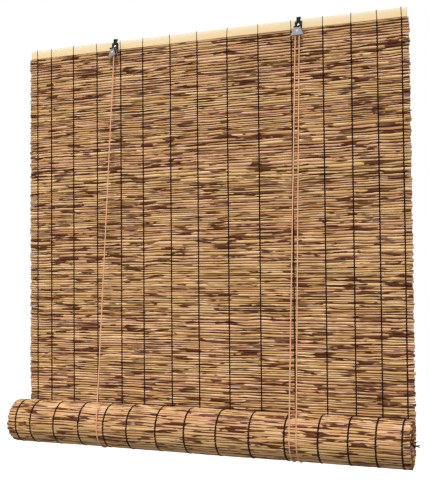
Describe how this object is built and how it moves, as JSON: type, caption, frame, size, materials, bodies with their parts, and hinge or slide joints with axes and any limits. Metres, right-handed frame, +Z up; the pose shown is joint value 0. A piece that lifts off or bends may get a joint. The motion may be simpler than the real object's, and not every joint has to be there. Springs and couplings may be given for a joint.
{
  "type": "reed roll up blind",
  "caption": "Hand-raised reed blind: bamboo batten with two pulley hangers, woven reed mat wound into a roll at its foot, carried by cord slings.",
  "frame": {"origin": "halfway between the two hanging eyes, on their common axis, which lies 2 mm behind the batten's front face", "axes": "+X along the batten to the right as seen from the room, +Y back towards the wall, +Z up"},
  "size_m": [1, 0.1176, 1.0382],
  "materials": {
    "reed": "dry carbonised reed stems, tan with short dark brown streaks, low sheen",
    "bamboo_batten": "pale planed bamboo slat, satin",
    "bamboo_rod": "round bamboo pole, satin",
    "black_thread": "twisted near-black polyester yarn, matte",
    "black_lacquered_steel": "black lacquer on stamped steel, semi-gloss",
    "zinc_plated_steel": "zinc plating, satin, slightly mottled",
    "nickel_rivet": "bright nickel plating",
    "sheave_plastic": "dark moulded nylon, matte",
    "staple_wire": "galvanised wire",
    "lift_cord": "braided peach cord, matte"
  },
  "bodies": {
    "blind_head": {"head_batten": "bamboo_batten", "reed_mat": "reed", "warp_thread_01": "black_thread", "warp_thread_02": "black_thread", "warp_thread_03": "black_thread", "warp_thread_04": "black_thread", "warp_thread_05": "black_thread", "warp_thread_06": "black_thread", "warp_thread_07": "black_thread", "warp_thread_08": "black_thread", "warp_thread_09": "black_thread", "warp_thread_10": "black_thread", "warp_thread_11": "black_thread", "warp_thread_12": "black_thread", "warp_thread_13": "black_thread", "warp_thread_14": "black_thread", "warp_thread_15": "black_thread", "hanger_plate_left": "black_lacquered_steel", "hanger_plate_right": "black_lacquered_steel", "hanger_screw_left": "nickel_rivet", "hanger_screw_right": "nickel_rivet", "swivel_rivet_left": "nickel_rivet", "swivel_rivet_right": "nickel_rivet", "cord_staple_left": "staple_wire", "cord_staple_right_inner": "staple_wire", "cord_staple_right_outer": "staple_wire", "cord_front_left": "lift_cord", "cord_front_right_inner": "lift_cord", "cord_front_right_outer": "lift_cord", "cord_back_run": "lift_cord", "cord_back_right_outer": "lift_cord"},
    "cord_slings": {"cord_sling_left": "lift_cord", "cord_sling_right_inner": "lift_cord", "cord_sling_right_outer": "lift_cord"},
    "roll": {"reed_roll": "reed", "roll_threads": "black_thread", "bottom_rod": "bamboo_rod"},
    "block_left": {"pulley_block_left": "zinc_plated_steel", "axle_pin_left": "nickel_rivet", "cord_over_left": "lift_cord"},
    "block_right": {"pulley_block_right": "zinc_plated_steel", "axle_pin_right": "nickel_rivet", "cord_over_right": "lift_cord"},
    "sheave_left": {"sheave_left": "sheave_plastic"},
    "sheave_right": {"sheave_right": "sheave_plastic"}
  },
  "joints": [
    {"name": "roll_lift", "type": "slide", "parent": "blind_head", "child": "cord_slings", "axis": [0, 0, 1], "range_m": [0, 0.6552], "deforming": ["reed_mat", "warp_thread_01", "warp_thread_02", "warp_thread_03", "warp_thread_04", "warp_thread_05", "warp_thread_06", "warp_thread_07", "warp_thread_08", "warp_thread_09", "warp_thread_10", "warp_thread_11", "warp_thread_12", "warp_thread_13", "warp_thread_14", "warp_thread_15", "cord_front_left", "cord_front_right_inner", "cord_front_right_outer", "cord_back_run", "cord_back_right_outer"]},
    {"name": "roll_turn", "type": "hinge", "parent": "cord_slings", "child": "roll", "pos_m": [0, -0.05164, -0.9774], "axis": [1, 0, 0], "range_deg": [-721, 0]},
    {"name": "block_swivel_left", "type": "hinge", "parent": "blind_head", "child": "block_left", "pos_m": [-0.2435, -0.0148, -0.0258], "axis": [0, 0, 1], "range_deg": [0, 60], "deforming": ["cord_front_left"]},
    {"name": "block_swivel_right", "type": "hinge", "parent": "blind_head", "child": "block_right", "pos_m": [0.2435, -0.0148, -0.0258], "axis": [0, 0, 1], "range_deg": [-30, 30], "deforming": ["cord_front_right_inner", "cord_front_right_outer"]},
    {"name": "sheave_turn_left", "type": "hinge", "parent": "block_left", "child": "sheave_left", "pos_m": [-0.2435, -0.0148, -0.0351], "axis": [0.5, 0.866, 0], "continuous": true},
    {"name": "sheave_turn_right", "type": "hinge", "parent": "block_right", "child": "sheave_right", "pos_m": [0.2435, -0.0148, -0.0351], "axis": [0, 1, 0], "continuous": true}
  ],
  "couplings": [
    {"joint": "roll_turn", "follows": "roll_lift", "rad_per_m": -19.179}
  ]
}
